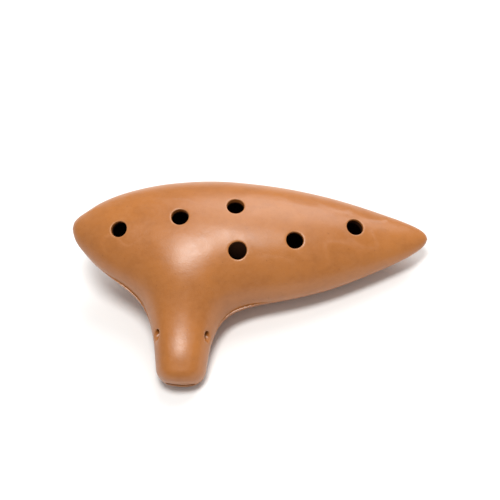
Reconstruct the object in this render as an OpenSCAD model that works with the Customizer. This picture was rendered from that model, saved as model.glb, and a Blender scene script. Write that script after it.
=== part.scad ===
// Transverse clay ocarina, hand luted from two moulded half-shells.
// The halves meet in a flat seam plane. The beak (mouthpiece) leaves the body
// towards -Y, the blunt nose points to -X and the tail to +X. All shapes are
// made in this seam frame and then laid down as the instrument rests on a
// table: on its belly and on the lower edge of the beak.

/* [Body] */
// Length from the nose to the tip of the tail
body_length = 145; // [130:1:160]
// Distance from the nose to the middle of the beak
nose_length = 46.4; // [44:0.2:50]
// Half of the greatest width of the body
half_width = 26.2; // [25:0.1:29]
// Height of the crown above the seam plane
crown_height = 17; // [16:0.5:19]
// Depth of the belly below the seam plane
belly_depth = 18; // [17:0.5:20]
// How far the middle of the body bows towards the beak
bow = 4.7; // [4:0.1:6]
// Roundness of the nose, smaller is blunter
nose_power = 0.61; // [0.55:0.01:0.7]
// Roundness of the tail, larger is more pointed
tail_power = 0.89; // [0.8:0.01:0.95]
// Thickness of the clay wall
wall = 3.3; // [3:0.1:3.6]

/* [Beak] */
// Distance from the body's axis to the end of the beak
beak_reach = 64; // [62:0.5:68]
// Half width of the beak at its end
beak_half_width = 9.25; // [9:0.05:10]
// Half height of the beak at its end
beak_half_height = 7; // [6.8:0.1:7.6]
// Growth of the half width for each millimetre towards the body
beak_side_taper = 0.115; // [0.09:0.005:0.13]
// Growth of the half height for each millimetre towards the body
beak_top_taper = 0.038; // [0.03:0.001:0.05]
// Radius of the beak's long edges
beak_edge_radius = 6; // [5:0.5:6.5]
// Radius of the edge round the end face
beak_end_radius = 3.8; // [3:0.1:4.5]
// How far the end face bulges in the middle
beak_end_bulge = 1.7; // [1:0.1:2]
// Reach of the soft hollow between the beak and the body
neck_blend = 28.6; // [26:0.2:31]

/* [Finger holes] */
// Diameter of each finger hole, from the nose to the tail
finger_hole_d = [6.7, 7, 7, 7.3, 6.9, 6.9];
// Diameter of the two thumb holes in the belly
thumb_hole_d = 8; // [7:0.1:9]

/* [Voicing] */
// Width of the airway and of the slabs above and below it
airway_width = 11; // [10:0.5:11.5]
// Height of the airway
airway_height = 1.2; // [1:0.1:1.6]
// Width of the sounding window in the belly
window_width = 12; // [11.5:0.5:13]
// Length of the sounding window, from the airway to the labium
window_length = 5.5; // [5:0.5:6]
// Thickness of the slab that floors the airway
floor_thickness = 1.2; // [1:0.1:1.4]

/* [Lanyard tunnel] */
// Diameter of the tunnel's two arms
lanyard_d = 3; // [2.5:0.1:3.2]

/* [Rest] */
// How far the beak side drops when the ocarina lies down
rest_tilt = 15.5; // [14:0.1:17]
// How far the tail drops when the ocarina lies down
rest_pitch = 7; // [5:0.1:9]
// Depth of the flat places on the belly and the beak where it lay to dry
rest_flat = 0.35; // [0.3:0.05:0.5]

/* [Hidden] */
clay = "#c07a45";
damp_clay = "#b06c3a";
$fn = 48;

// Mesh density: stations and rows of the shells
nose_stations = 14;
tail_stations = 28;
beak_columns = 22;
beak_rings = 14;
crown_rows = 22;
chamber_rows = 10;
root_steps = 17;

// Places along the body's axis
nose_x = -nose_length;
tail_x = body_length - nose_length;
join_y = -34;
beak_end_y = -beak_reach;

// The beak fades out inside the body from here on
root_fade_y = -28;
root_fade_length = 50;

// Chamber: its two ends stop short of the nose and the tail
nose_wall = 4.5;
tail_wall = 10;
chamber_length = body_length - nose_wall - tail_wall;

// Plan places of the finger holes and the thumb holes
finger_hole_at = [[-27, -4], [-2.5, 0.5], [19.5, 6], [21, -13], [43.5, -7.5], [67.5, 0.5]];
thumb_hole_at = [[-20, 2], [47, -7]];
hole_reach = 12;

// Airway: a straight channel that sinks from the beak's end to the window
airway_end_y = -29;
airway_mid_in = -1.3;
airway_mid_out = -7.6;
airway_slope = (airway_mid_out - airway_mid_in) / (airway_end_y - beak_end_y);
airway_angle = atan(airway_slope);
slab_start_y = -58;
labium_y = airway_end_y + window_length;
ramp_end_y = -10;
edge_thickness = 0.3;

// Lanyard tunnel: two arms that enter the neck's sides and meet in the middle
lanyard_z = 4.5;
lanyard_meet = [0, -35.5, lanyard_z];
lanyard_arm = 24;

// ---------- shape of the outside ----------

// Swelling of the body along its axis: 0 at both ends, 1 at its fattest
fattest = nose_power / (nose_power + tail_power);
swell_scale = pow(fattest, nose_power) * pow(1 - fattest, tail_power);
function swell(t) = t <= 0 || t >= 1 ? 0 : pow(t, nose_power) * pow(1 - t, tail_power) / swell_scale;

// Approximate distance to the surface of the body alone
function body_gap(x, y, z) =
    let (f = max(swell((x - nose_x) / body_length), 0.02))
    let (a = half_width * f)
    let (b = (z > 0 ? crown_height : belly_depth) * f)
    let (v = (y + bow * f) / a)
    let (w = z / b)
    let (r = sqrt(v * v + w * w))
    let (slope = sqrt(v * v / (a * a) + w * w / (b * b)) / max(r, 0.001))
    min((r - 1) / max(slope, 0.001), (r - 1) * half_width);

// Distance to a soft-edged rectangle's outline, less its corner radius
function soft_box(px, pz, half_w, half_h, radius) =
    let (qx = abs(px) - half_w + radius)
    let (qz = abs(pz) - half_h + radius)
    norm([max(qx, 0), max(qz, 0)]) + min(max(qx, qz), 0) - radius;

// Approximate distance to the surface of the beak alone
function beak_gap(x, y, z) =
    let (run = max(y - beak_end_y, -10))
    let (half_w = beak_half_width + beak_side_taper * run)
    let (half_h = beak_half_height + beak_top_taper * run)
    let (side = soft_box(x, z, half_w, half_h, beak_edge_radius) + beak_end_radius)
    let (dome = beak_end_bulge * pow(x / beak_half_width, 2))
    let (front = beak_end_y + dome - y + beak_end_radius)
    let (shell = norm([max(side, 0), max(front, 0)]) + min(max(side, front), 0) - beak_end_radius)
    shell + pow(max(y - root_fade_y, 0), 2) / root_fade_length;

// The whole outside: the two surfaces melt into each other at the neck
function outer_gap(x, y, z) =
    let (a = body_gap(x, y, z))
    let (b = beak_gap(x, y, z))
    let (h = max(neck_blend - abs(a - b), 0) / neck_blend)
    min(a, b) - h * h * h * neck_blend / 6;

// Where a ray from p along d leaves the outside, found by halving
function leave(p, d, near, far, steps = root_steps) =
    let (mid = (near + far) / 2)
    let (q = p + mid * d)
    steps == 0 ? q : outer_gap(q.x, q.y, q.z) < 0
        ? leave(p, d, mid, far, steps - 1)
        : leave(p, d, near, mid, steps - 1);

function slope_at(p, e = 0.05) =
    let (dx = outer_gap(p.x + e, p.y, p.z) - outer_gap(p.x - e, p.y, p.z))
    let (dy = outer_gap(p.x, p.y + e, p.z) - outer_gap(p.x, p.y - e, p.z))
    let (dz = outer_gap(p.x, p.y, p.z + e) - outer_gap(p.x, p.y, p.z - e))
    [dx, dy, dz] / norm([dx, dy, dz]);

// A smooth run from 0 to 1 with close steps at both ends
function ease(u) = (1 - cos(180 * u)) / 2;

// ---------- points of one half ----------

function spine_y(x) = -bow * swell((x - nose_x) / body_length);
function front_point(x) = leave([x, spine_y(x), 0], [0, -1, 0], 0, 60);
function back_point(x) = leave([x, spine_y(x), 0], [0, 1, 0], 0, 60);

// Height of the surface over or under a point of the seam plane
function raised(x, y, side) = leave([x, y, 0], [0, 0, side], 0, 30);

// One half section of the beak, from its left side over the top to its right side
function beak_ring(y, side) = [
    for (k = [0:beak_columns])
        let (turn = 180 * k / beak_columns)
        leave([0, y, 0], [-cos(turn), 0, k % beak_columns == 0 ? 0 : side * sin(turn)], 0, 40)
];

function beak_ring_y(j) = beak_end_y + (join_y - beak_end_y) * (1 - sin(90 * j / beak_rings));

// Starting points of the body's stations: left flank, neck, right flank
function station_starts(side) =
    let (neck = beak_ring(join_y, side))
    let (left_x = neck[0].x)
    let (right_x = neck[beak_columns].x)
    concat(
        [for (i = [1:nose_stations - 1]) front_point(nose_x + (left_x - nose_x) * ease(i / nose_stations))],
        neck,
        [for (i = [1:tail_stations - 1]) front_point(right_x + (tail_x - right_x) * ease(i / tail_stations))]
    );

// One station: a row of points from its start over the body to the back
function station(start, side) =
    let (back = back_point(start.x))
    concat(
        [start],
        [for (j = [1:crown_rows - 1])
            raised(start.x, start.y + (back.y - start.y) * ease(j / crown_rows), side)],
        [back]
    );

// Chamber wall at the same stations, from its front to its back
function chamber_x(x) = nose_x + nose_wall + (x - nose_x) * chamber_length / body_length;
function chamber_point(x, turn, side, inset = 1) =
    let (f = inset * swell((x - nose_x) / body_length))
    let (cx = chamber_x(x))
    let (height = (side > 0 ? crown_height : belly_depth) - wall)
    [cx, spine_y(cx) - (half_width - wall) * f * cos(turn), side * height * f * sin(turn)];
function chamber_row(x, side) = [
    for (j = [0:chamber_rows])
        chamber_point(x, 180 * j / chamber_rows, j % chamber_rows == 0 ? 0 : side)
];

// ---------- solids ----------

// Triangles between two rows of points that start at index a and b
function strip(a, b, count) = [
    for (j = [0:count - 1])
        each [[a + j, a + j + 1, b + j], [a + j + 1, b + j + 1, b + j]]
];

// A fan of triangles from one point to a row of points
function fan(tip, a, count) = [for (j = [0:count - 1]) [tip, a + j, a + j + 1]];

function flipped(faces) = [for (f = faces) [for (i = [len(f) - 1:-1:0]) f[i]]];

// Closed half-shell: outside, flat seam face and chamber wall
module half_shell(side) {
    starts = station_starts(side);
    count = len(starts);
    outer = [for (s = starts) each station(s, side)];
    rings = [for (j = [1:beak_rings - 1]) each beak_ring(beak_ring_y(j), side)];
    inner = [for (s = starts) each chamber_row(s.x, side)];
    row = crown_rows + 1;
    ring = beak_columns + 1;
    inner_row = chamber_rows + 1;
    nose = 0;
    tail = 1;
    beak_tip = 2;
    inner_nose = 3;
    inner_tail = 4;
    middle = 5;
    outer_at = 6;
    rings_at = outer_at + len(outer);
    inner_at = rings_at + len(rings);
    points = concat(
        [[nose_x, 0, 0], [tail_x, 0, 0], [0, beak_end_y, 0]],
        [[chamber_x(nose_x), spine_y(chamber_x(nose_x)), 0]],
        [[chamber_x(tail_x), spine_y(chamber_x(tail_x)), 0]],
        [[0, join_y, 0]],
        outer, rings, inner
    );
    first_neck = nose_stations - 1;
    last_neck = first_neck + beak_columns;
    last = count - 1;
    // index of the start of station i, of a ring's point, and of the chamber's rows
    function out(i, j) = outer_at + i * row + j;
    function hoop(j, k) = j == 0 ? out(first_neck + k, 0) : rings_at + (j - 1) * ring + k;
    function in(i, j) = inner_at + i * inner_row + j;
    outside = concat(
        [for (i = [0:last - 1]) each strip(out(i, 0), out(i + 1, 0), crown_rows)],
        flipped(fan(nose, out(0, 0), crown_rows)),
        fan(tail, out(last, 0), crown_rows),
        [for (j = [0:beak_rings - 2]) for (k = [0:beak_columns - 1])
            each [
                [hoop(j, k), hoop(j, k + 1), hoop(j + 1, k)],
                [hoop(j, k + 1), hoop(j + 1, k + 1), hoop(j + 1, k)]
            ]],
        [for (k = [0:beak_columns - 1])
            [beak_tip, hoop(beak_rings - 1, k), hoop(beak_rings - 1, k + 1)]]
    );
    inside = concat(
        [for (i = [0:last - 1]) each strip(in(i, 0), in(i + 1, 0), chamber_rows)],
        flipped(fan(inner_nose, in(0, 0), chamber_rows)),
        fan(inner_tail, in(last, 0), chamber_rows)
    );
    flank = concat([for (i = [0:first_neck - 1]) i], [for (i = [last_neck:last - 1]) i]);
    seam = concat(
        [for (i = [0:last - 1])
            [out(i, crown_rows), out(i + 1, crown_rows), in(i + 1, chamber_rows), in(i, chamber_rows)]],
        [for (i = flank) [out(i, 0), in(i, 0), in(i + 1, 0), out(i + 1, 0)]],
        [[nose, out(0, crown_rows), in(0, chamber_rows), inner_nose]],
        [[nose, inner_nose, in(0, 0), out(0, 0)]],
        [[tail, inner_tail, in(last, chamber_rows), out(last, crown_rows)]],
        [[tail, out(last, 0), in(last, 0), inner_tail]],
        [for (i = [first_neck:last_neck - 1]) [middle, in(i, 0), in(i + 1, 0)]],
        [[middle, hoop(0, 0), in(first_neck, 0)], [middle, in(last_neck, 0), hoop(0, beak_columns)]],
        [[middle, hoop(1, 0), hoop(0, 0)], [middle, hoop(0, beak_columns), hoop(1, beak_columns)]],
        [[middle, hoop(1, beak_columns), hoop(1, 0)]],
        [for (j = [1:beak_rings - 2])
            [hoop(j, 0), hoop(j, beak_columns), hoop(j + 1, beak_columns), hoop(j + 1, 0)]],
        [[hoop(beak_rings - 1, 0), hoop(beak_rings - 1, beak_columns), beak_tip]]
    );
    faces = concat(outside, flipped(inside), flipped(seam));
    polyhedron(points, side > 0 ? faces : flipped(faces), convexity = 8);
}

// A drill through a surface point, square to the surface
module drill(place, side, diameter) {
    at = raised(place.x, place.y, side);
    out = slope_at(at);
    translate(at) rotate([0, acos(out.z), atan2(out.y, out.x)])
        cylinder(h = 2 * hole_reach, d = diameter, center = true);
}

// The lanyard tunnel: one arm from each side of the neck to a rounded meeting place
module lanyard_tunnel() {
    translate(lanyard_meet) {
        sphere(d = lanyard_d);
        for (heading = [-135, -45])
            rotate([0, 90, heading]) cylinder(h = lanyard_arm, d = lanyard_d);
    }
}

// A slab along the airway, from its floor height "low" to "high" over the middle line
module airway_slab(start_y, end_y, low, high, width) {
    rotate([90, 0, 90]) linear_extrude(width, center = true)
        polygon([
            [start_y, airway_mid(start_y) + low],
            [end_y, airway_mid(end_y) + low],
            [end_y, airway_mid(end_y) + high],
            [start_y, airway_mid(start_y) + high]
        ]);
}
function airway_mid(y) = airway_mid_in + (y - beak_end_y) * airway_slope;

// The channel in the lower half's beak: the airway, widened where the two slabs lie
module windway_cut() {
    mouth_y = beak_end_y - 3;
    past_y = airway_end_y + 1;
    roof = airway_height / 2;
    bed = -airway_height / 2 - floor_thickness;
    rotate([90, 0, 90]) linear_extrude(airway_width, center = true)
        polygon([
            [mouth_y, airway_mid(mouth_y) - roof],
            [slab_start_y, airway_mid(slab_start_y) - roof],
            [slab_start_y, airway_mid(slab_start_y) + bed],
            [past_y, airway_mid(past_y) + bed],
            [past_y, 1],
            [slab_start_y, 1],
            [slab_start_y, airway_mid(slab_start_y) + roof],
            [mouth_y, airway_mid(mouth_y) + roof]
        ]);
}

// The opening for the window and the labium, through the belly wall
module window_cut() {
    translate([-window_width / 2, airway_end_y, -2 * belly_depth])
        cube([window_width, ramp_end_y - airway_end_y, 2 * belly_depth + 1]);
}

// Side outline of the labium: ramp outside, blade inside
module labium_outline() {
    edge_z = airway_mid(labium_y);
    ramp_foot = raised(0, ramp_end_y, -1).z;
    inner_foot = ramp_foot + wall;
    blade_y = labium_y + 7;
    polygon([
        [labium_y, edge_z - edge_thickness / 2],
        [ramp_end_y, ramp_foot],
        [ramp_end_y, inner_foot],
        [blade_y, airway_mid(blade_y) + edge_thickness],
        [labium_y, edge_z + edge_thickness / 2]
    ]);
}

// ---------- laying down ----------

function laid(p) =
    let (y1 = p.y * cos(rest_tilt) - p.z * sin(rest_tilt))
    let (z1 = p.y * sin(rest_tilt) + p.z * cos(rest_tilt))
    [p.x * cos(rest_pitch) + z1 * sin(rest_pitch), y1, z1 * cos(rest_pitch) - p.x * sin(rest_pitch)];

// All corners of the outside, laid down, for the box the ocarina fills
function outside_points(side) =
    let (starts = station_starts(side))
    concat(
        [[nose_x, 0, 0], [tail_x, 0, 0], [0, beak_end_y, 0]],
        [for (s = starts) each station(s, side)],
        [for (j = [1:beak_rings - 1]) each beak_ring(beak_ring_y(j), side)]
    );
corners = [for (side = [1, -1]) for (p = outside_points(side)) laid(p)];
box_low = [for (i = [0:2]) min([for (p = corners) p[i]])];
box_high = [for (i = [0:2]) max([for (p = corners) p[i]])];

module lie_down() {
    middle = (box_low + box_high) / 2;
    translate([-middle.x, -middle.y, -box_low.z - rest_flat])
        rotate([rest_tilt, rest_pitch, 0])
            children();
}

// All that lies under the surface the ocarina rests on
module under_floor() {
    translate([-body_length, -body_length, -belly_depth])
        cube([2 * body_length, 2 * body_length, belly_depth]);
}

// ---------- parts ----------

// Upper half of the body and beak, with six finger holes and the lanyard tunnel
module upper_shell() {
    color(clay) lie_down() difference() {
        half_shell(1);
        for (i = [0:len(finger_hole_at) - 1]) drill(finger_hole_at[i], 1, finger_hole_d[i]);
        lanyard_tunnel();
    }
}

// Lower half of the body and beak, with two thumb holes, the airway and the window
module lower_shell() {
    color(clay) difference() {
        lie_down() difference() {
            half_shell(-1);
            for (at = thumb_hole_at) drill(at, -1, thumb_hole_d);
            windway_cut();
            window_cut();
        }
        under_floor();
    }
}

// Block over the airway: it fills the lower half's channel up to the seam plane
module windway_roof() {
    color(damp_clay) lie_down() rotate([90, 0, 90]) linear_extrude(airway_width, center = true)
        polygon([
            [slab_start_y, airway_mid(slab_start_y) + airway_height / 2],
            [airway_end_y, airway_mid(airway_end_y) + airway_height / 2],
            [airway_end_y, 0],
            [slab_start_y, 0]
        ]);
}

// Flat slab under the airway: its front edge is the near side of the window
module windway_floor() {
    low = -airway_height / 2 - floor_thickness;
    color(damp_clay) lie_down()
        airway_slab(slab_start_y, airway_end_y, low, -airway_height / 2, airway_width);
}

// Wedge that splits the air: its edge faces the airway
module labium() {
    color(damp_clay) lie_down() rotate([90, 0, 90])
        linear_extrude(window_width, center = true) labium_outline();
}

// Roll of clay pressed along the inside of the seam, on the beak's side (-1) or the back (1)
roll_stations = 28;
roll_half_height = 1.6;
roll_gap = 0.15;
roll_start = 0.07;
roll_end = 0.93;
module seam_roll(flank) {
    // height from the seam plane, as a share, and depth in from the wall
    profile = [[-1, 0.3], [0, 0], [1, 0.3], [0.5, 1.4], [-0.5, 1.4]];
    sides = len(profile);
    function place(i, corner) =
        let (t = roll_start + (roll_end - roll_start) * i / roll_stations)
        let (x = nose_x + nose_wall + t * chamber_length)
        let (z = corner[0] * roll_half_height)
        let (height = ((z > 0 ? crown_height : belly_depth) - wall) * swell(t))
        let (reach = (half_width - wall) * swell(t) * sqrt(1 - pow(z / height, 2)))
        [x, spine_y(x) + flank * (reach - roll_gap - corner[1]), z];
    points = [for (i = [0:roll_stations]) for (corner = profile) place(i, corner)];
    sleeve = [for (i = [0:roll_stations - 1]) for (j = [0:sides - 1])
        let (a = i * sides)
        let (b = a + sides)
        let (next = (j + 1) % sides)
        each [[a + j, a + next, b + j], [a + next, b + next, b + j]]];
    last = roll_stations * sides;
    ends = [[for (j = [sides - 1:-1:0]) j], [for (j = [0:sides - 1]) last + j]];
    faces = concat(sleeve, ends);
    color(damp_clay) lie_down() polyhedron(points, flank > 0 ? flipped(faces) : faces, convexity = 6);
}
module seam_roll_front() { seam_roll(-1); }
module seam_roll_back() { seam_roll(1); }

upper_shell();
lower_shell();
windway_roof();
windway_floor();
labium();
seam_roll_front();
seam_roll_back();
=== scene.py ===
import math

import bmesh
import bpy
import numpy as np
from mathutils import Matrix, Vector
from mathutils.geometry import delaunay_2d_cdt


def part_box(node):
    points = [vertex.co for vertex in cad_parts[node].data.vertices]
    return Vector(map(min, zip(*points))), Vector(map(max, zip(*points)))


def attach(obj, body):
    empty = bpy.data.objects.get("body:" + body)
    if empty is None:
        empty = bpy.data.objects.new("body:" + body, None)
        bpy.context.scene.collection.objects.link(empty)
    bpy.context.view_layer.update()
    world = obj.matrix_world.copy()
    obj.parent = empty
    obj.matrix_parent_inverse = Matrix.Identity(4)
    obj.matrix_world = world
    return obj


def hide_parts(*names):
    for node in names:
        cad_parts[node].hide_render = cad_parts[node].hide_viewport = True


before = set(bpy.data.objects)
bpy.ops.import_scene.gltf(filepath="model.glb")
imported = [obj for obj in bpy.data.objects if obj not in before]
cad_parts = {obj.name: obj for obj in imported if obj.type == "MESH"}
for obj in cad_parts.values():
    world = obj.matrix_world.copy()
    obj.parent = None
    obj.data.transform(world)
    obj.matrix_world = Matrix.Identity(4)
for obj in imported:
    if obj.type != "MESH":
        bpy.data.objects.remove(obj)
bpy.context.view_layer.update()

# The clay shapes are worked out in the seam frame, in millimetres: seam plane z = 0,
# body axis along X from nose to tail, beak towards -Y. One turn and one shift then lay
# them down where the CAD nodes are.
MM = 0.001
REST_TILT = math.radians(15.5)
REST_PITCH = math.radians(7)

# ---------------------------------------------------------------- sizes of the shape

BODY_LENGTH = 145.0
NOSE_X = -46.4
TAIL_X = NOSE_X + BODY_LENGTH
HALF_WIDTH = 26.2
CROWN = 17.0
BELLY = 18.0
BOW = 4.7
NOSE_POWER = 0.61
TAIL_POWER = 0.89
WALL = 3.3
NOSE_WALL = 4.5
CHAMBER_LENGTH = 130.5
NOSE_TIP_X = NOSE_X - 0.6
NOSE_TIP_RADIUS = 7.3
NOSE_TIP_BLEND = (1, 9)
TAIL_TIP_X = TAIL_X - 1.6
TAIL_FILL = 4.6
TAIL_FILL_LENGTH = 10

BEAK_END_Y = -64.0
BEAK_HALF_WIDTH = 9.25
BEAK_HALF_HEIGHT = 7.0
BEAK_CROWN = 2.2
BEAK_RIDGE = 1.6
BEAK_TIP_DROOP = 1.8
BEAK_DROOP_LENGTH = 7.0
BEAK_SIDE_TAPER = 0.115
BEAK_TOP_TAPER = 0.038
BEAK_EDGE_RADIUS = 6.0
BEAK_END_RADIUS = 3.8
BEAK_END_BULGE = 1.7
ROOT_FADE_Y = -28.0
ROOT_FADE_LENGTH = 50.0
NECK_BLEND = 28.6

FINGER_HOLES = [(-27, -4, 6.7), (-2.5, 0.5, 7.0), (19.5, 6, 7.0),
                (21, -13, 7.3), (43.5, -7.5, 6.9), (67.5, 0.5, 6.9)]
THUMB_HOLES = [(-20, 2, 8.0), (47, -7, 8.0)]
HOLE_REACH = 12.0
HOLE_RIM = 1.0
FIRST_THUMB = 7
HOLE_OVALNESS = 0.014
HOLE_LOBES = 0.010

LANYARD_MEET = np.array([0.0, -35.5, 4.5])
LANYARD_RADIUS = 1.5
LANYARD_RIM = 2.0

AIRWAY_HALF_WIDTH = 5.5
AIRWAY_HEIGHT = 1.2
AIRWAY_END_Y = -29.0
AIRWAY_MID_IN = -1.3
AIRWAY_SLOPE = (-7.6 - AIRWAY_MID_IN) / (AIRWAY_END_Y - BEAK_END_Y)
SLAB_START_Y = -58.0
FLOOR_THICKNESS = 1.2
BED_MIDDLE_Y = -43.0
BED_REACH = 15.0
MOUTH_RIM = 0.25
AIRWAY_NEAR = 0.3
WINDOW_HALF_WIDTH = 6.0
LABIUM_Y = -23.5
RAMP_END_Y = -10.0
EDGE_THICKNESS = 0.3
BLADE_LENGTH = 7
WINDOW_RIM = 0.6
FLAT_RIM = 0.5
SLAB_BEVEL = 0.18
LABIUM_BEVEL = 0.10

# The rolls run along the chamber between these shares of its length
ROLL_START = 0.07
ROLL_END = 0.93
ROLL_STATIONS = 150
ROLL_SIDES = 14
ROLL_HALF_HEIGHT = 1.5
ROLL_HALF_DEPTH = 0.6
ROLL_GAP = 0.15

# The grid on which the shells are sampled, and how far it goes in steps from the seam
GRID_STEP = 0.6
GRID_PAST_SEAM = 5.5
GRID_ABOVE = 31.5
GRID_BELOW = 33.5
CUT_PAST_SEAM = 2.3
REFINE_PASSES = ((0.20, 0.30), (0.25, 0.16))
GRID_LOW = np.array([-48.0, -66.0, -20.4])
GRID_HIGH = np.array([100.2, 23.4, 19.2])

# ---------------------------------------------------------------- fields of the shape

FATTEST = NOSE_POWER / (NOSE_POWER + TAIL_POWER)
SWELL_PEAK = FATTEST ** NOSE_POWER * (1 - FATTEST) ** TAIL_POWER


def swell(t):
    """Swelling of the body along its axis: 0 at both ends, 1 where it is fattest."""
    t = np.clip(t, 0.0, 1.0)
    return t ** NOSE_POWER * (1 - t) ** TAIL_POWER / SWELL_PEAK


def spine_y(x):
    return -BOW * swell((x - NOSE_X) / BODY_LENGTH)


def eased(low, high, value):
    """0 up to a low value, 1 from a high one, with a soft passage between."""
    share = np.clip((value - low) / (high - low), 0.0, 1.0)
    return share * share * (3 - 2 * share)


def body_size(x):
    """Swelling of the outside: the egg's, with both tips drawn out to rounded ends."""
    size = swell((x - NOSE_X) / BODY_LENGTH)
    nose = np.sqrt(np.maximum(2 * NOSE_TIP_RADIUS * (x - NOSE_TIP_X), 0)) / HALF_WIDTH
    size = size + (1 - eased(*NOSE_TIP_BLEND, x - NOSE_X)) * (nose - size)
    fill = TAIL_FILL * (TAIL_TIP_X - x) * np.exp((x - TAIL_X) / TAIL_FILL_LENGTH) / HALF_WIDTH ** 2
    return np.sqrt(np.maximum(size * size + fill, 0))


def smooth_max(a, b, reach):
    h = np.maximum(reach - np.abs(a - b), 0.0) / reach
    return np.maximum(a, b) + h ** 3 * reach / 6


def egg_gap(y, z, size, half_width, crown, belly, middle_y):
    """Rough distance to a bowed egg, negative inside it."""
    size = np.maximum(size, 0.004)
    a = half_width * size
    b = np.where(z > 0, crown, belly) * size
    v = (y - middle_y) / a
    w = z / b
    r = np.sqrt(v * v + w * w)
    slope = np.sqrt(v * v / (a * a) + w * w / (b * b)) / np.maximum(r, 0.001)
    return np.minimum((r - 1) / np.maximum(slope, 0.001), (r - 1) * half_width)


def body_gap(x, y, z):
    return egg_gap(y, z, body_size(x), HALF_WIDTH, CROWN, BELLY, spine_y(x))


def chamber_gap(x, y, z):
    size = swell((x - NOSE_X - NOSE_WALL) / CHAMBER_LENGTH)
    return egg_gap(y, z, size, HALF_WIDTH - WALL, CROWN - WALL, BELLY - WALL, spine_y(x))


def beak_gap(x, y, z):
    """Rough distance to the beak: a soft-edged tapering bar with a bulging end face."""
    run = np.maximum(y - BEAK_END_Y, -10.0)
    qx = np.abs(x) - (BEAK_HALF_WIDTH + BEAK_SIDE_TAPER * run) + BEAK_EDGE_RADIUS
    droop = BEAK_TIP_DROOP * np.exp(-(run / BEAK_DROOP_LENGTH) ** 2)
    arch = np.where(z > 0, BEAK_CROWN * (x / BEAK_HALF_WIDTH) ** 2 - BEAK_RIDGE + droop, 0.0)
    qz = np.abs(z) - (BEAK_HALF_HEIGHT + BEAK_TOP_TAPER * run - arch) + BEAK_EDGE_RADIUS
    side = np.hypot(np.maximum(qx, 0), np.maximum(qz, 0)) + np.minimum(np.maximum(qx, qz), 0)
    side = side - BEAK_EDGE_RADIUS + BEAK_END_RADIUS
    dome = BEAK_END_BULGE * (x / BEAK_HALF_WIDTH) ** 2
    front = BEAK_END_Y + dome - y + BEAK_END_RADIUS
    shell = np.hypot(np.maximum(side, 0), np.maximum(front, 0))
    shell = shell + np.minimum(np.maximum(side, front), 0) - BEAK_END_RADIUS
    return shell + np.maximum(y - ROOT_FADE_Y, 0) ** 2 / ROOT_FADE_LENGTH


def handwork(x, y, z):
    """Faint unevenness left by fingers and the burnishing stone, in millimetres."""
    slow = np.sin(x / 8.3 + 0.7) * np.sin(y / 6.9 + 2.0) * np.cos(z / 7.7 + 0.3)
    quick = np.sin(x / 4.1 + y / 5.3 + 1.1) * np.sin(y / 3.9 - z / 4.6 + 0.5)
    return 0.11 * slow + 0.035 * quick


def outer_gap(x, y, z):
    a = body_gap(x, y, z)
    b = beak_gap(x, y, z)
    return -smooth_max(-a, -b, NECK_BLEND) + handwork(x, y, z)


def slope_of(field, p, h=0.02):
    """Direction in which a field grows at each point, not normalised."""
    columns = []
    for axis in range(3):
        step = np.zeros(3)
        step[axis] = h
        ahead = field(*(p + step).T)
        behind = field(*(p - step).T)
        columns.append((ahead - behind) / (2 * h))
    return np.stack(columns, axis=1)


def on_surface(x, y, side):
    """The point of the outside over or under a place of the seam plane."""
    low, high = 0.0, 30.0
    for _ in range(40):
        mid = (low + high) / 2
        if outer_gap(np.array(float(x)), np.array(float(y)), np.array(side * mid)) < 0:
            low = mid
        else:
            high = mid
    return np.array([x, y, side * low])


def drill_for(place, side):
    """Centre, direction and radius of a hole drilled square to the surface."""
    at = on_surface(place[0], place[1], side)
    out = slope_of(outer_gap, at[None])[0]
    return at, out / np.linalg.norm(out), place[2] / 2


def drill_gap(x, y, z, drill, number):
    """Distance to a hole that a hand-held cutter left very slightly out of round."""
    at, out, radius = drill
    across = np.cross(out, [0.0, 1.0, 0.0])
    across /= np.linalg.norm(across)
    over = np.cross(out, across)
    dx, dy, dz = x - at[0], y - at[1], z - at[2]
    depth = dx * out[0] + dy * out[1] + dz * out[2]
    u = dx * across[0] + dy * across[1] + dz * across[2]
    v = dx * over[0] + dy * over[1] + dz * over[2]
    turn = np.arctan2(v, u)
    wobble = HOLE_OVALNESS * np.cos(2 * turn + 1.7 * number)
    wobble = wobble + HOLE_LOBES * np.cos(3 * turn + 2.3 * number)
    return np.maximum(np.hypot(u, v) - radius * (1 + wobble), np.abs(depth) - HOLE_REACH)


def tunnel_gap(x, y, z):
    """Distance to the V-shaped lanyard tunnel through the neck."""
    gaps = []
    for heading in (-135, -45):
        way = (math.cos(math.radians(heading)), math.sin(math.radians(heading)))
        dx, dy, dz = x - LANYARD_MEET[0], y - LANYARD_MEET[1], z - LANYARD_MEET[2]
        along = np.maximum(dx * way[0] + dy * way[1], 0.0)
        gaps.append(np.sqrt((dx - along * way[0]) ** 2 + (dy - along * way[1]) ** 2 + dz ** 2))
    return np.minimum(*gaps) - LANYARD_RADIUS


def airway_mid(y):
    return AIRWAY_MID_IN + (y - BEAK_END_Y) * AIRWAY_SLOPE


def channel_gap(x, y, z):
    """Distance to the airway's mouth and to the bed that holds the roof and the floor slab."""
    rise = z - airway_mid(y)
    half = AIRWAY_HEIGHT / 2
    side = np.abs(x) - AIRWAY_HALF_WIDTH
    mouth = np.maximum(np.abs(rise) - half, y - SLAB_START_Y - 0.1)
    bed = np.maximum(-rise - half - FLOOR_THICKNESS, np.abs(y - BED_MIDDLE_Y) - BED_REACH)
    return np.maximum(side, np.minimum(mouth, bed))


def window_gap(x, y, z):
    middle = (AIRWAY_END_Y + RAMP_END_Y) / 2
    reach = (RAMP_END_Y - AIRWAY_END_Y) / 2
    return np.maximum(np.abs(x) - WINDOW_HALF_WIDTH, np.abs(y - middle) - reach)


FINGER_DRILLS = [drill_for(place, 1) for place in FINGER_HOLES]
THUMB_DRILLS = [drill_for(place, -1) for place in THUMB_HOLES]


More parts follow.
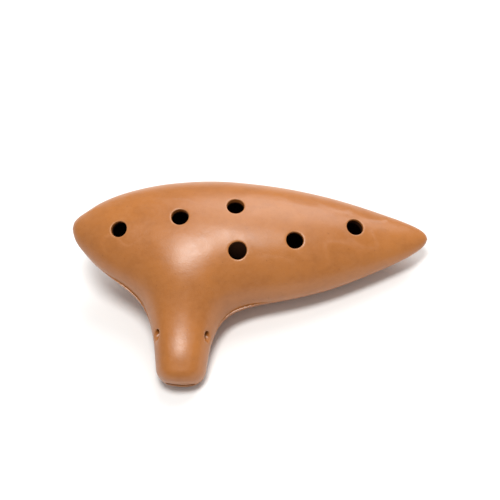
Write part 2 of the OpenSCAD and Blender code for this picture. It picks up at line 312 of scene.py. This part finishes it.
def wall_field(x, y, z):
    return np.maximum(outer_gap(x, y, z), -chamber_gap(x, y, z))


def over_floor(x, y, z):
    """Height over the floor, on which the clay lay flat while it dried."""
    return TURN[2, 0] * x + TURN[2, 1] * y + TURN[2, 2] * z + SHIFT[2] / MM


def upper_field(x, y, z):
    clay = wall_field(x, y, z)
    for number, drill in enumerate(FINGER_DRILLS):
        clay = smooth_max(clay, -drill_gap(x, y, z, drill, number), HOLE_RIM)
    return smooth_max(clay, -tunnel_gap(x, y, z), LANYARD_RIM)


def lower_field(x, y, z):
    clay = wall_field(x, y, z)
    for number, drill in enumerate(THUMB_DRILLS):
        clay = smooth_max(clay, -drill_gap(x, y, z, drill, FIRST_THUMB + number), HOLE_RIM)
    clay = smooth_max(clay, -channel_gap(x, y, z), MOUTH_RIM)
    clay = smooth_max(clay, -window_gap(x, y, z), WINDOW_RIM)
    return smooth_max(clay, -over_floor(x, y, z), FLAT_RIM)


# ---------------------------------------------------------------- meshes of the fields

def surface_net(values, low, step):
    """Points and triangles of the surface on which values, sampled on a grid, are zero."""
    inside = values < 0
    cells = tuple(n - 1 for n in values.shape)
    corners = [(i, j, k) for i in (0, 1) for j in (0, 1) for k in (0, 1)]

    def at_corner(array, c):
        return array[c[0]:c[0] + cells[0], c[1]:c[1] + cells[1], c[2]:c[2] + cells[2]]

    filled = sum(at_corner(inside, c).astype(np.int8) for c in corners)
    crossed = (filled > 0) & (filled < 8)
    number = np.full(cells, -1)
    number[crossed] = np.arange(crossed.sum())
    place = np.argwhere(crossed)
    total = np.zeros((len(place), 3))
    hits = np.zeros(len(place))
    for axis in range(3):
        for c in corners:
            if c[axis]:
                continue
            d = tuple(1 if i == axis else c[i] for i in range(3))
            a = at_corner(values, c)[crossed]
            b = at_corner(values, d)[crossed]
            cut = (a < 0) != (b < 0)
            share = np.where(cut, a / np.where(cut, a - b, 1.0), 0.0)
            total += cut[:, None] * np.array(c)
            total[:, axis] += share
            hits += cut
    points = low + step * (place + total / hits[:, None])
    quads = []
    for axis in range(3):
        b, c = (axis + 1) % 3, (axis + 2) % 3
        first = np.take(inside, range(cells[axis]), axis)
        second = np.take(inside, range(1, cells[axis] + 1), axis)
        change = np.argwhere(first != second)
        change = change[(change[:, b] > 0) & (change[:, c] > 0)]
        change = change[(change[:, b] < cells[b]) & (change[:, c] < cells[c])]
        outward = first[tuple(change.T)]
        ring = []
        for db, dc in ((1, 1), (0, 1), (0, 0), (1, 0)):
            cell = change.copy()
            cell[:, b] -= db
            cell[:, c] -= dc
            ring.append(number[tuple(cell.T)])
        quad = np.stack(ring, axis=1)
        quad[~outward] = quad[~outward][:, ::-1]
        quads.append(quad)
    quads = np.concatenate(quads)
    first = np.linalg.norm(points[quads[:, 0]] - points[quads[:, 2]], axis=1)
    second = np.linalg.norm(points[quads[:, 1]] - points[quads[:, 3]], axis=1)
    quads = np.where((first > second)[:, None], np.roll(quads, -1, axis=1), quads)
    return points, np.concatenate([quads[:, [0, 1, 2]], quads[:, [0, 2, 3]]])


def settle(points, field, rounds, most, seam):
    """Moves points onto the surface along its slope, none by more than a given length.

    Points marked as seam stay at their height.
    """
    start = points
    for _ in range(rounds):
        slope = slope_of(field, points)
        slope[seam, 2] = 0
        gap = field(*points.T)
        size = np.maximum((slope ** 2).sum(axis=1), 0.05)
        moved = points - slope * (gap / size)[:, None] - start
        length = np.linalg.norm(moved, axis=1)
        points = start + moved * np.minimum(1, most / np.maximum(length, 1e-9))[:, None]
    return points


def refine(points, faces, field, angle, shortest):
    """Splits the edges along which the surface turns by more than an angle."""
    slope = slope_of(field, points)
    slope /= np.linalg.norm(slope, axis=1)[:, None]
    sides = np.concatenate([faces[:, [0, 1]], faces[:, [1, 2]], faces[:, [2, 0]]])
    edges, which = np.unique(np.sort(sides, axis=1), axis=0, return_inverse=True)
    which = which.reshape(3, -1).T
    turn = (slope[edges[:, 0]] * slope[edges[:, 1]]).sum(axis=1)
    length = np.linalg.norm(points[edges[:, 0]] - points[edges[:, 1]], axis=1)
    split = (turn < math.cos(angle)) & (length > shortest)
    middle = np.full(len(edges), -1)
    middle[split] = len(points) + np.arange(split.sum())
    new = points[edges[split]].mean(axis=1)
    new = settle(new, field, 3, 0.25 * length[split], (points[edges[split], 2] == 0).all(axis=1))
    points = np.concatenate([points, new])
    mids = middle[which]
    marked = mids >= 0
    count = marked.sum(axis=1)
    done = [faces[count == 0]]
    for turns in range(3):
        f = np.roll(faces, -turns, axis=1)
        m = np.roll(mids, -turns, axis=1)
        k = np.roll(marked, -turns, axis=1)
        one = (count == 1) & k[:, 0]
        done.append(np.stack([f[one, 0], m[one, 0], f[one, 2]], axis=1))
        done.append(np.stack([m[one, 0], f[one, 1], f[one, 2]], axis=1))
        two = (count == 2) & k[:, 0] & k[:, 1]
        done.append(np.stack([f[two, 1], m[two, 1], m[two, 0]], axis=1))
        done.append(np.stack([f[two, 0], m[two, 0], m[two, 1]], axis=1))
        done.append(np.stack([f[two, 0], m[two, 1], f[two, 2]], axis=1))
    f = faces[count == 3]
    m = mids[count == 3]
    done.append(np.stack([f[:, 0], m[:, 0], m[:, 2]], axis=1))
    done.append(np.stack([f[:, 1], m[:, 1], m[:, 0]], axis=1))
    done.append(np.stack([f[:, 2], m[:, 2], m[:, 1]], axis=1))
    done.append(m)
    return points, np.concatenate(done)


TURN_TILT = np.array([[1, 0, 0],
                      [0, math.cos(REST_TILT), -math.sin(REST_TILT)],
                      [0, math.sin(REST_TILT), math.cos(REST_TILT)]])
TURN_PITCH = np.array([[math.cos(REST_PITCH), 0, math.sin(REST_PITCH)],
                       [0, 1, 0],
                       [-math.sin(REST_PITCH), 0, math.cos(REST_PITCH)]])
TURN = TURN_PITCH @ TURN_TILT

# Side outline in (y, z) of the block that roofs the airway, up to the seam
HALF_AIR = AIRWAY_HEIGHT / 2
ROOF_OUTLINE = [(SLAB_START_Y, airway_mid(SLAB_START_Y) + HALF_AIR),
                (AIRWAY_END_Y, airway_mid(AIRWAY_END_Y) + HALF_AIR),
                (AIRWAY_END_Y, 0), (SLAB_START_Y, 0)]

# Where the seam frame's origin lies in the CAD frame, found from the CAD node of that block
roof_corners = np.array([(x, y, z)
                         for x in (-AIRWAY_HALF_WIDTH, AIRWAY_HALF_WIDTH)
                         for y, z in ROOF_OUTLINE])
roof_low = (roof_corners @ TURN.T).min(axis=0) * MM
SHIFT = np.array(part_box("windway_roof")[0]) - roof_low


def laid(points):
    return np.asarray(points) @ TURN.T * MM + SHIFT


def piece_from(name, points, faces, normals=None):
    """A mesh object in the CAD frame, from seam-frame points; normals are one per corner."""
    mesh = bpy.data.meshes.new(name)
    mesh.from_pydata(laid(points).tolist(), [], [tuple(f) for f in faces])
    mesh.shade_smooth()
    if normals is not None:
        mesh.normals_split_custom_set((normals @ TURN.T).tolist())
    piece = bpy.data.objects.new(name, mesh)
    bpy.context.scene.collection.objects.link(piece)
    return piece


def store(piece, name, values):
    """Keeps one number for every vertex, in millimetres, for the material to read."""
    layer = piece.data.attributes.new(name, "FLOAT", "POINT")
    layer.data.foreach_set("value", np.asarray(values, dtype=np.float32))


def seam_cap(points, faces, side):
    """Triangles of the flat face in the seam plane, between the rims of outside and hollows."""
    sides = np.concatenate([faces[:, [0, 1]], faces[:, [1, 2]], faces[:, [2, 0]]])
    edges, uses = np.unique(np.sort(sides, axis=1), axis=0, return_counts=True)
    ids, links = np.unique(edges[uses % 2 == 1], return_inverse=True)
    links = links.reshape(-1, 2).tolist()
    spots = [Vector(p) for p in points[ids, :2].tolist()]
    _, _, found, sources, _, _ = delaunay_2d_cdt(spots, links, [], 0, 1e-9, True)
    found = [[sources[i][0] for i in triangle] for triangle in found]
    rims = {frozenset(link) for link in links}
    edges_of = [[frozenset((f[i], f[i - 1])) for i in range(3)] for f in found]
    beside = {}
    for number, edges in enumerate(edges_of):
        for edge in edges:
            beside.setdefault(edge, []).append(number)
    # clay starts and ends at each rim, counted from the open space outside
    in_clay = {}
    queue = []
    for edge, pair in beside.items():
        if len(pair) == 1 and pair[0] not in in_clay:
            in_clay[pair[0]] = edge in rims
            queue.append(pair[0])
    while queue:
        here = queue.pop()
        for edge in edges_of[here]:
            for there in beside[edge]:
                if there not in in_clay:
                    in_clay[there] = in_clay[here] != (edge in rims)
                    queue.append(there)
    cap = ids[np.array([f for number, f in enumerate(found) if in_clay[number]])]
    return cap if side < 0 else cap[:, ::-1]


def shell_piece(name, field, side):
    """One half of the clay: meshed a little past the seam plane, then kept on its own side."""
    low, high = GRID_LOW.copy(), GRID_HIGH.copy()
    low[2] = -GRID_STEP * (GRID_PAST_SEAM if side > 0 else GRID_BELOW)
    high[2] = GRID_STEP * (GRID_ABOVE if side > 0 else GRID_PAST_SEAM)
    counts = np.round((high - low) / GRID_STEP).astype(int) + 1
    x, y, z = [low[i] + GRID_STEP * np.arange(counts[i]) for i in range(3)]
    grid = np.meshgrid(x, y, z, indexing="ij", sparse=True)
    values = np.maximum(field(*grid), -side * grid[2] - CUT_PAST_SEAM * GRID_STEP)
    points, faces = surface_net(values, low, GRID_STEP)
    points[:, 2] *= np.abs(points[:, 2]) >= GRID_STEP / 2
    faces = faces[(side * points[faces, 2] >= 0).all(axis=1)]
    faces = faces[(points[faces, 2] != 0).any(axis=1)]
    used, faces = np.unique(faces, return_inverse=True)
    faces = faces.reshape(-1, 3)
    points = points[used]
    points = settle(points, field, 4, 0.4 * GRID_STEP, points[:, 2] == 0)
    for angle, shortest in REFINE_PASSES:
        points, faces = refine(points, faces, field, angle, shortest)
    cap = seam_cap(points, faces, side)
    normals = slope_of(field, points)
    normals /= np.maximum(np.linalg.norm(normals, axis=1), 1e-9)[:, None]
    corner_normals = np.concatenate([normals[faces], np.zeros((len(cap), 3, 3))])
    corner_normals[len(faces):, :, 2] = -side
    faces = np.concatenate([faces, cap])
    piece = piece_from(name, points, faces, corner_normals.reshape(-1, 3))
    # depth under the outside, from which the material paints shade in the hollows; the airway's
    # walls count as if they were the chamber's, so they get the same painted shade
    depth = -outer_gap(*points.T)
    in_airway = (np.abs(channel_gap(*points.T)) < AIRWAY_NEAR) & (depth > AIRWAY_NEAR)
    store(piece, "depth", np.where(in_airway, WALL, depth))
    # distance to the nearest cut edge, where the material paints a lighter rim of rubbed wear and
    # painted highlight
    drills = FINGER_DRILLS if side > 0 else THUMB_DRILLS
    first = 0 if side > 0 else FIRST_THUMB
    rims = [np.abs(drill_gap(*points.T, drill, first + i)) for i, drill in enumerate(drills)]
    rims.append(np.abs((tunnel_gap if side > 0 else window_gap)(*points.T)))
    store(piece, "rim", np.minimum.reduce(rims))
    return piece


def slab_piece(name, outline, half_width, bevel):
    """A slab or wedge across the beak, from its side outline in (y, z), with softened edges."""
    bm = bmesh.new()
    ends = [[bm.verts.new((x, y, z)) for y, z in outline] for x in (-half_width, half_width)]
    count = len(outline)
    bm.faces.new(ends[0][::-1])
    bm.faces.new(ends[1])
    for i in range(count):
        j = (i + 1) % count
        bm.faces.new((ends[0][i], ends[0][j], ends[1][j], ends[1][i]))
    bmesh.ops.recalc_face_normals(bm, faces=bm.faces[:])
    bmesh.ops.bevel(bm, geom=bm.edges[:], offset=bevel, segments=3, profile=0.5,
                    affect="EDGES", clamp_overlap=True)
    bmesh.ops.triangulate(bm, faces=[f for f in bm.faces if len(f.verts) > 4])
    bm.verts.index_update()
    points = np.array([v.co[:] for v in bm.verts])
    faces = [[v.index for v in f.verts] for f in bm.faces]
    bm.free()
    return piece_from(name, points, faces)


def roll_piece(name, flank):
    """A roll of clay pressed by finger along the inside of the seam, on one side."""
    points = []
    for i in range(ROLL_STATIONS + 1):
        share = i / ROLL_STATIONS
        t = ROLL_START + (ROLL_END - ROLL_START) * share
        size = float(swell(t))
        x = NOSE_X + NOSE_WALL + t * CHAMBER_LENGTH
        # uneven where each finger pressed, and drawn in at both ends
        press = 1 + 0.12 * math.sin(61 * share + flank) + 0.06 * math.sin(143 * share)
        end = math.sqrt(max(0.04, 1 - abs(2 * share - 1) ** 30))
        for k in range(ROLL_SIDES):
            turn = 2 * math.pi * k / ROLL_SIDES
            z = ROLL_HALF_HEIGHT * press * end * math.sin(turn)
            height = ((CROWN if z > 0 else BELLY) - WALL) * size
            reach = (HALF_WIDTH - WALL) * size * math.sqrt(1 - (z / height) ** 2)
            depth = ROLL_GAP + ROLL_HALF_DEPTH * press * end * (1 + math.cos(turn))
            points.append((x, float(spine_y(x)) + flank * (reach - depth), z))
    faces = []
    for i in range(ROLL_STATIONS):
        a = i * ROLL_SIDES
        b = a + ROLL_SIDES
        for k in range(ROLL_SIDES):
            m = (k + 1) % ROLL_SIDES
            faces.append((a + k, a + m, b + m, b + k))
    last = ROLL_STATIONS * ROLL_SIDES
    faces.append(tuple(range(ROLL_SIDES - 1, -1, -1)))
    faces.append(tuple(last + k for k in range(ROLL_SIDES)))
    if flank > 0:
        faces = [f[::-1] for f in faces]
    return piece_from(name, points, faces)


def labium_outline():
    """Side outline of the labium in (y, z): ramp outside, thin edge to the air, blade inside."""
    edge = airway_mid(LABIUM_Y)
    foot = on_surface(0, RAMP_END_Y, -1)[2]
    blade_y = LABIUM_Y + BLADE_LENGTH
    return [(LABIUM_Y, edge - EDGE_THICKNESS / 2), (RAMP_END_Y, foot), (RAMP_END_Y, foot + WALL),
            (blade_y, airway_mid(blade_y) + EDGE_THICKNESS), (LABIUM_Y, edge + EDGE_THICKNESS / 2)]


def slab_outline(low, high):
    """Side outline of a slab along the airway, between two heights over its middle line."""
    start = airway_mid(SLAB_START_Y)
    end = airway_mid(AIRWAY_END_Y)
    return [(SLAB_START_Y, start + low), (AIRWAY_END_Y, end + low),
            (AIRWAY_END_Y, end + high), (SLAB_START_Y, start + high)]


upper = shell_piece("body_upper_shell", upper_field, 1)
lower = shell_piece("body_lower_shell", lower_field, -1)
roof = slab_piece("airway_roof_block", ROOF_OUTLINE, AIRWAY_HALF_WIDTH, SLAB_BEVEL)
floor_slab = slab_piece("airway_floor_slab", slab_outline(-HALF_AIR - FLOOR_THICKNESS, -HALF_AIR),
                        AIRWAY_HALF_WIDTH, SLAB_BEVEL)
labium = slab_piece("labium_wedge", labium_outline(), WINDOW_HALF_WIDTH, LABIUM_BEVEL)
roll_front = roll_piece("inner_seam_roll_front", -1)
roll_back = roll_piece("inner_seam_roll_back", 1)

# ---------------------------------------------------------------- materials

# painted shade: a near-black colour laid on the clay deep under the outside, in the chamber, the
# holes and the airway
PAINTED_SHADE_INSIDE = (0.045, 0.017, 0.008)
# lighter rims: partly rubbed wear, partly a painted highlight on the rounded cut edges
RIM_WEAR_AND_PAINTED_HIGHLIGHT = (0.50, 0.26, 0.14)


class Nodes:
    """Short calls for building one material's node tree."""

    def __init__(self, name):
        self.material = bpy.data.materials.new(name)
        self.material.use_nodes = True
        self.tree = self.material.node_tree
        self.shader = self.tree.nodes["Principled BSDF"]
        self.place = self.tree.nodes.new("ShaderNodeTexCoord").outputs["Object"]

    def link(self, source, target):
        self.tree.links.new(source, target)

    def noise(self, scale, detail=2.0, rough=0.5, stretch=None):
        node = self.tree.nodes.new("ShaderNodeTexNoise")
        node.inputs["Scale"].default_value = scale
        node.inputs["Detail"].default_value = detail
        node.inputs["Roughness"].default_value = rough
        place = self.place
        if stretch:
            mapping = self.tree.nodes.new("ShaderNodeMapping")
            mapping.inputs["Scale"].default_value = stretch
            self.link(place, mapping.inputs["Vector"])
            place = mapping.outputs["Vector"]
        self.link(place, node.inputs["Vector"])
        return node.outputs["Fac"]

    def ramp(self, source, low, high, start=0.0, end=1.0):
        """Maps a value from low..high to start..end, held at both ends."""
        node = self.tree.nodes.new("ShaderNodeMapRange")
        node.inputs["From Min"].default_value = low
        node.inputs["From Max"].default_value = high
        node.inputs["To Min"].default_value = start
        node.inputs["To Max"].default_value = end
        self.link(source, node.inputs["Value"])
        return node.outputs["Result"]

    def mix(self, share, a, b):
        """Mixes two colours; share and either colour may be a socket."""
        node = self.tree.nodes.new("ShaderNodeMix")
        node.data_type = "RGBA"
        for key, value in ((0, share), (6, a), (7, b)):
            if isinstance(value, bpy.types.NodeSocket):
                self.link(value, node.inputs[key])
            elif key == 0:
                node.inputs[key].default_value = value
            else:
                node.inputs[key].default_value = (*value, 1)
        return node.outputs[2]

    def math(self, kind, a, b):
        node = self.tree.nodes.new("ShaderNodeMath")
        node.operation = kind
        for key, value in ((0, a), (1, b)):
            if isinstance(value, bpy.types.NodeSocket):
                self.link(value, node.inputs[key])
            else:
                node.inputs[key].default_value = value
        return node.outputs[0]

    def attribute(self, name):
        node = self.tree.nodes.new("ShaderNodeAttribute")
        node.attribute_name = name
        return node.outputs["Fac"]

    def bump(self, height, strength, distance, below=None):
        node = self.tree.nodes.new("ShaderNodeBump")
        node.inputs["Strength"].default_value = strength
        node.inputs["Distance"].default_value = distance
        self.link(height, node.inputs["Height"])
        if below:
            self.link(below, node.inputs["Normal"])
        return node.outputs["Normal"]


def clay_material(name, light, mid, dark, warm, rough_range, gloss):
    """Fired clay: cloudy and mottled, with grit, lighter at cut rims from rubbed wear and a
    painted highlight, and with painted shade in the hollows.

    Pieces without the numbers for rims and depth read them as 0, so they count as rim.
    """
    n = Nodes(name)
    # colour: clouds of 30 mm, blotches of 7 mm, strokes along the body, mottling, grit, specks
    clouds = n.noise(30, 2, 0.5)
    blotch = n.noise(140, 4, 0.6)
    strokes = n.noise(60, 3, 0.6, (1.0, 7.0, 7.0))
    mottle = n.noise(480, 3, 0.6)
    grit = n.noise(1700, 2, 0.6)
    specks = n.noise(620, 1, 0.5)
    colour = n.mix(n.ramp(clouds, 0.35, 0.65), mid, light)
    colour = n.mix(n.ramp(blotch, 0.45, 0.80, 0.0, 0.30), colour, dark)
    colour = n.mix(n.ramp(strokes, 0.50, 0.80, 0.0, 0.16), colour, dark)
    colour = n.mix(n.ramp(mottle, 0.40, 0.68, 0.0, 0.35), colour, warm)
    colour = n.mix(n.ramp(grit, 0.58, 0.74, 0.0, 0.20), colour, dark)
    colour = n.mix(n.ramp(specks, 0.74, 0.80, 0.0, 0.45), colour, dark)
    depth = n.attribute("depth")
    rim = n.attribute("rim")
    # lighter colour at the cut rims, partly rubbed wear and partly a painted highlight
    shallow = n.ramp(depth, 0.3, 1.0, 1.0, 0.0)
    rim_wear_and_highlight = n.math("MULTIPLY", n.ramp(rim, 0.25, 0.95, 1.0, 0.0), shallow)
    rim_wear_and_highlight = n.math("MULTIPLY", rim_wear_and_highlight, n.ramp(blotch, 0.3, 0.6, 0.4, 1.0))
    colour = n.mix(n.math("MULTIPLY", rim_wear_and_highlight, 0.25), colour, RIM_WEAR_AND_PAINTED_HIGHLIGHT)
    # painted shade: walls deep in the chamber, the holes and the airway are darkened towards
    # near-black
    inside = n.ramp(depth, 2.5, 3.3)
    colour = n.mix(inside, colour, PAINTED_SHADE_INSIDE)
    n.link(colour, n.shader.inputs["Base Color"])
    # sheen: patchy outside, dull inside
    patch = n.noise(240, 4, 0.6)
    rough = n.ramp(patch, 0.3, 0.7, *rough_range)
    rough = n.math("ADD", rough, n.math("MULTIPLY", inside, 0.45))
    n.link(rough, n.shader.inputs["Roughness"])
    n.link(n.ramp(inside, 0.0, 1.0, gloss, 0.05), n.shader.inputs["Specular IOR Level"])
    # relief: the long dents of burnishing, small dimples, and the grain of the clay
    fine = n.noise(2300, 2, 0.6)
    dimples = n.noise(330, 2, 0.5)
    soft = n.noise(95, 2, 0.5, (0.6, 1.6, 1.6))
    normal = n.bump(soft, 0.12, 0.0005)
    normal = n.bump(dimples, 0.25, 0.00012, normal)
    normal = n.bump(fine, 1.0, 0.00005, normal)
    n.link(normal, n.shader.inputs["Normal"])
    return n.material


burnished = clay_material("burnished_clay", light=(0.41, 0.145, 0.029), mid=(0.37, 0.127, 0.025),
                          dark=(0.21, 0.066, 0.013), warm=(0.41, 0.155, 0.042),
                          rough_range=(0.28, 0.36), gloss=0.52)
bare = clay_material("bare_clay", light=(0.33, 0.125, 0.034), mid=(0.29, 0.105, 0.029),
                     dark=(0.17, 0.06, 0.017), warm=(0.34, 0.14, 0.050),
                     rough_range=(0.72, 0.88), gloss=0.35)

for piece, node, slot_name, material in (
        (upper, "upper_shell", "burnished_clay", burnished),
        (lower, "lower_shell", "burnished_clay", burnished),
        (roof, "windway_roof", "bare_clay", bare),
        (floor_slab, "windway_floor", "bare_clay", bare),
        (labium, "labium", "bare_clay", bare),
        (roll_front, "seam_roll_front", "bare_clay", bare),
        (roll_back, "seam_roll_back", "bare_clay", bare)):
    piece.data.materials.append(material)
    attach(piece, "root")
    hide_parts(node)

# ---------------------------------------------------------------- floor, light and camera

FLOOR_SIZE = 8
LIGHT_DISTANCE = 1.2

bpy.ops.mesh.primitive_plane_add(size=FLOOR_SIZE, location=(0, 0, 0))
ground = bpy.context.object
ground.name = "studio_floor"
paper = Nodes("pale_paper")
paper.link(paper.mix(paper.noise(3, 2), (0.86, 0.86, 0.855), (0.88, 0.88, 0.88)),
           paper.shader.inputs["Base Color"])
paper.shader.inputs["Roughness"].default_value = 0.9
paper.shader.inputs["Specular IOR Level"].default_value = 0.1
ground.data.materials.append(paper.material)

world = bpy.data.worlds.new("studio")
world.use_nodes = True
sky = world.node_tree.nodes["Background"]
sky.inputs["Color"].default_value = (1.0, 1.0, 1.0, 1)
sky.inputs["Strength"].default_value = 0.42
bpy.context.scene.world = world


def soft_light(name, direction, size, power, colour):
    """An oval area light that shines on the ocarina from a direction."""
    data = bpy.data.lights.new(name, "AREA")
    data.shape = "ELLIPSE"
    data.size = size[0]
    data.size_y = size[1]
    data.energy = power
    data.color = colour
    light = bpy.data.objects.new(name, data)
    bpy.context.scene.collection.objects.link(light)
    way = Vector(direction).normalized()
    light.location = way * LIGHT_DISTANCE
    light.rotation_euler = way.to_track_quat("Z", "Y").to_euler()


soft_light("overhead", (0.02, -0.08, 1.0), (0.50, 0.34), 10.8, (1.0, 0.99, 0.97))
soft_light("from_behind", (0.25, 0.62, 0.75), (0.9, 0.9), 9.0, (1.0, 0.99, 0.98))

# The camera looks down at 55 degrees from the beak's side. Its place is worked out for the
# ocarina tilted but not yet pitched, and then turned by the pitch like the clay itself.
VIEW_RISE = math.radians(55)
VIEW_TURN = math.radians(2.02)
VIEW_DISTANCE = 0.62966
VIEW_TARGET = (25.588, -8.133, 0.0)
LENS_IN_PICTURE_WIDTHS = 3.1165
SENSOR_WIDTH = 36
back = np.array([math.sin(VIEW_TURN) * math.cos(VIEW_RISE),
                 -math.cos(VIEW_TURN) * math.cos(VIEW_RISE), math.sin(VIEW_RISE)])
right = np.array([math.cos(VIEW_TURN), math.sin(VIEW_TURN), 0.0])
up = np.cross(back, right)
target = np.array(VIEW_TARGET) * MM
axes = TURN_PITCH @ np.stack([right, up, back], axis=1)
place = TURN_PITCH @ (target + back * VIEW_DISTANCE) + SHIFT
camera_data = bpy.data.cameras.new("camera")
camera_data.sensor_width = SENSOR_WIDTH
camera_data.lens = SENSOR_WIDTH * LENS_IN_PICTURE_WIDTHS
camera_data.clip_start = 0.01
camera = bpy.data.objects.new("camera", camera_data)
bpy.context.scene.collection.objects.link(camera)
matrix = np.eye(4)
matrix[:3, :3] = axes
matrix[:3, 3] = place
camera.matrix_world = Matrix(matrix.tolist())
bpy.context.scene.camera = camera

bpy.context.scene.view_settings.view_transform = "Standard"
